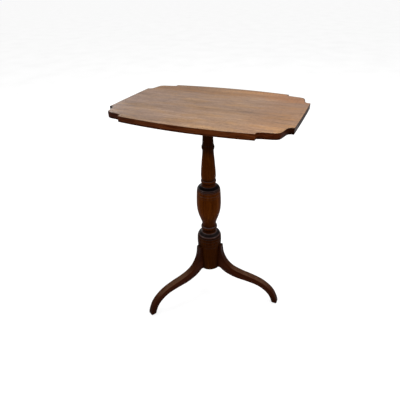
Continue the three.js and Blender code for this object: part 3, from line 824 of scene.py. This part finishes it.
# darker in the hollows of the turnings, and painted shade on the drum beside the legs
CORNER_SHADE_WIDTH, CORNER_SHADE_HEIGHT, SHELTER = 14, 35, 4.5
dark_hollows_corner_shade = column.data.attributes.new("dark_hollows_corner_shade", "FLOAT", "POINT")
outer_profile = [(radius, z) for radius, z in column_profile if radius > 15]
for index, vertex in enumerate(column.data.vertices):
    height, radius = vertex.co.z / MM, math.hypot(vertex.co.x, vertex.co.y) / MM
    below = [r for r, z in outer_profile if height - SHELTER < z <= height + 0.01]
    above = [r for r, z in outer_profile if height - 0.01 <= z < height + SHELTER]
    depth = min(max(below), max(above)) - radius if below and above and radius > 15.5 else 0
    turned_by = math.degrees(math.atan2(vertex.co.y, vertex.co.x))
    from_leg = min(abs((turned_by - degrees + 180) % 360 - 180) for degrees in LEG_ANGLES.values())
    beside = (math.radians(from_leg) * radius - LEG_THICK / 2) / CORNER_SHADE_WIDTH
    corner = (1 - beside) * (1 - (height - LEG_TOP) / CORNER_SHADE_HEIGHT)
    corner = min(max(corner, 0), 1) if height < LEG_TOP + CORNER_SHADE_HEIGHT else 0
    dark_hollows_corner_shade.data[index].value = max(min(max((depth - 0.1) / 1.4, 0), 1), 0.5 * corner)
piece(column, "base", "turned_wood", column_wood, "column")

# -------------------------------- the legs
FOOT_DEPTH = 19
DRAWN_FLAT, DRAWN_REACH = 45, 265.5
reach = leg_high.x
leg_flat = R + 3.4
scale = (reach - leg_flat) / (DRAWN_REACH - DRAWN_FLAT)
leg_root = R - DRUM_TAPER - 4


def leg_curve(points):
    """Points of the leg as drawn, stretched along X to the leg's real reach."""
    return [(leg_flat + (x - DRAWN_FLAT) * scale, z) for x, z in points]


underside = smooth([(leg_flat, COLUMN_FOOT), *leg_curve([
    (58, 88.5), (78, 78.5), (110, 70.5), (155, 67.5), (190, 62), (215.5, 49.5), (232, 34),
    (242, 15),
]), (reach - FOOT_DEPTH, 0)], 120)
upper = smooth([*leg_curve([
    (48, LEG_TOP), (51, 168), (59, 145), (74, 123), (95, 108.5), (125, 99.5), (165, 92.5),
    (200, 83), (228, 67), (247, 48), (259, 25), (264.5, 8),
]), (reach, 0)], 160)


def even(points, count):
    """The same curve with its points at equal steps along it."""
    lengths = [0]
    for (x0, z0), (x1, z1) in zip(points, points[1:]):
        lengths.append(lengths[-1] + math.hypot(x1 - x0, z1 - z0))
    out, i = [], 0
    for step in range(count + 1):
        target = lengths[-1] * step / count
        while i < len(points) - 2 and lengths[i + 1] < target:
            i += 1
        w = (target - lengths[i]) / max(lengths[i + 1] - lengths[i], 1e-9)
        out.append(tuple(points[i][k] + w * (points[i + 1][k] - points[i][k]) for k in (0, 1)))
    return out


def leg_bm(stations=96, arris=2.2, worn=3.4, sole=4, sole_steps=8):
    """A leg lofted between its underside and its upper curve, its arrises worn rounder at the
    foot and its sole rounded."""
    pairs = [((leg_root, COLUMN_FOOT), (leg_root, LEG_TOP))]
    pairs += zip(even(underside, stations), even(upper, stations))
    (low_before, high_before), (low_end, high_end) = pairs[-3], pairs[-1]
    pairs = pairs[:-2]
    for step in range(1, sole_steps + 1):
        w = math.sin(math.pi / 2 * step / sole_steps)
        pairs.append(tuple(
            tuple(before[k] + w * (end[k] - before[k]) for k in (0, 1))
            for before, end in ((low_before, low_end), (high_before, high_end))))
    bm = bmesh.new()
    rings = []
    for number, ((x0, z0), (x1, z1)) in enumerate(pairs):
        height = math.hypot(x1 - x0, z1 - z0)
        dx, dz = (x1 - x0) / height, (z1 - z0) / height
        ease = arris + (worn - arris) * min(1, max(0, (number / stations - 0.8) / 0.2)) ** 2
        ring = []
        for quarter in range(4):
            for step in range(5):
                a = math.pi / 2 * (quarter + step / 4)
                centre = ease if quarter in (0, 3) else height - ease
                along = centre - ease * math.cos(a)
                side = (LEG_THICK / 2 - ease) * (1 if quarter < 2 else -1) + ease * math.sin(a)
                at_z = z0 + dz * along
                short = sole - math.sqrt(max(sole ** 2 - max(sole - at_z, 0) ** 2, 0))
                along += short * (1 - 2 * along / height)
                side -= short * 2 * side / LEG_THICK
                ring.append(bm.verts.new((x0 + dx * along, side, at_z)))
        rings.append(ring)
    for here, there in zip(rings, rings[1:]):
        for i in range(len(here)):
            j = (i + 1) % len(here)
            bm.faces.new((here[i], here[j], there[j], there[i]))
    bm.faces.new(list(reversed(rings[0])))
    bm.faces.new(rings[-1])
    return bm


drum_cut = [(0, COLUMN_FOOT - 10), (R - DRUM_TAPER - 0.1, COLUMN_FOOT - 10),
            (R - DRUM_TAPER + SOCKET_GAP, COLUMN_FOOT), (R + SOCKET_GAP, LEG_TOP),
            (R + SOCKET_GAP, LEG_TOP + 10), (0, LEG_TOP + 10)]
for leg_name, degrees in LEG_ANGLES.items():
    leg = mesh_object(f"curved_leg_{leg_name}", leg_bm())
    shaped(leg, [turned(drum_cut, 128)])
    shaped(leg, [dovetail(0, COLUMN_FOOT + 0.05, dovetail_top, 0)], "UNION")
    leg.data.transform(Matrix.Rotation(math.radians(degrees), 4, "Z"))
    shade(leg.data)
    piece(leg, "base", "leg_wood", leg_wood[leg_name], f"leg_{leg_name}")

# -------------------------------- the nails under the brace
NAIL_PROFILE = [(0, 0), (1.2, 0.12), (2.5, 0.5), (3.1, 0.95), (3.1, 1.2), (1.3, 1.2), (1.3, 14),
                (0, 17)]
for leg_name in LEG_ANGLES:
    for row in ("inner", "outer"):
        node = f"brace_nail_{row}_{leg_name}"
        low, high = [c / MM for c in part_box(node)]
        at = Vector(((low.x + high.x) / 2, (low.y + high.y) / 2, low.z))
        nail = turned(NAIL_PROFILE, 14, Matrix.Translation(at))
        nail = mesh_object(f"forged_{node}", nail, 50)
        piece(nail, "base", "iron", iron, node)

# -------------------------------- CAD nodes that keep their shape
kept = {
    "catch_case": brass, "catch_bolt": brass, "catch_keeper": brass,
    "hinge_pin_front": iron, "hinge_pin_back": iron, "leg_brace": iron, "tenon_wedge": plain_wood,
}
for node, material in kept.items():
    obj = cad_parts[node]
    for slot_of in obj.material_slots:
        slot_of.material = material

# -------------------------------- floor, light and camera
floor_bm = bmesh.new()
bmesh.ops.create_grid(floor_bm, x_segments=1, y_segments=1, size=40000)
floor = mesh_object("studio_floor", floor_bm)
floor_look = Graph("pale_floor")
speck = floor_look.noise(floor_look.place(), 3, 2)
floor_sockets = floor_look.shader.inputs
floor_look.link(floor_look.ramp(speck, [(0.3, 0.26), (0.7, 0.3)]), floor_sockets["Base Color"])
floor_sockets["Roughness"].default_value = 0.9
floor_sockets["Specular IOR Level"].default_value = 0.0
floor_sockets["Emission Color"].default_value = (1, 1, 1, 1)
floor_sockets["Emission Strength"].default_value = 0.72
floor.data.materials.append(floor_look.material)

world = bpy.data.worlds.new("studio")
bpy.context.scene.world = world
world.use_nodes = True
background = world.node_tree.nodes["Background"].inputs
background["Color"].default_value = (1, 1, 1, 1)
background["Strength"].default_value = 0.82


def softbox(name, at, aim, width, height, watts):
    """A white rectangular light turned towards a point."""
    data = bpy.data.lights.new(name, "AREA")
    data.shape = "RECTANGLE"
    data.size, data.size_y = width, height
    data.energy = watts
    obj = bpy.data.objects.new(name, data)
    obj.location = at
    obj.rotation_mode = "QUATERNION"
    obj.rotation_quaternion = (Vector(aim) - Vector(at)).to_track_quat("-Z", "Y")
    bpy.context.scene.collection.objects.link(obj)


softbox("overhead", (0.3, 0.9, 2.9), (0, 0, 0.5), 2.6, 2.2, 80)
softbox("front_left", (-2.2, -2.0, 2.0), (0, 0, 0.4), 1.4, 1.8, 45)
softbox("right", (2.6, -0.6, 1.5), (0, 0, 0.4), 1.2, 1.8, 25)
softbox("behind", (-2.6, 1.6, 0.9), (0, 0, 0.4), 1.6, 1.2, 26)

# the photograph's viewing angle: the camera's place, and the directions of its picture
camera_data = bpy.data.cameras.new("camera")
camera_data.sensor_width = 36
camera_data.lens = 32.146
camera_data.clip_end = 200
camera = bpy.data.objects.new("camera", camera_data)
camera_place = Vector((0.41225, -0.94370, 1.00417))
right = Vector((0.91085665, 0.41189272, -0.02616405))
down = Vector((0.19415619, -0.48357126, -0.85349998))
ahead = Vector((-0.36420261, 0.77233621, -0.52043561))
turn = Matrix((right, -down, -ahead)).transposed().to_4x4()
camera.matrix_world = Matrix.Translation(camera_place) @ turn
bpy.context.scene.collection.objects.link(camera)
bpy.context.scene.camera = camera
bpy.context.scene.view_settings.view_transform = "Standard"
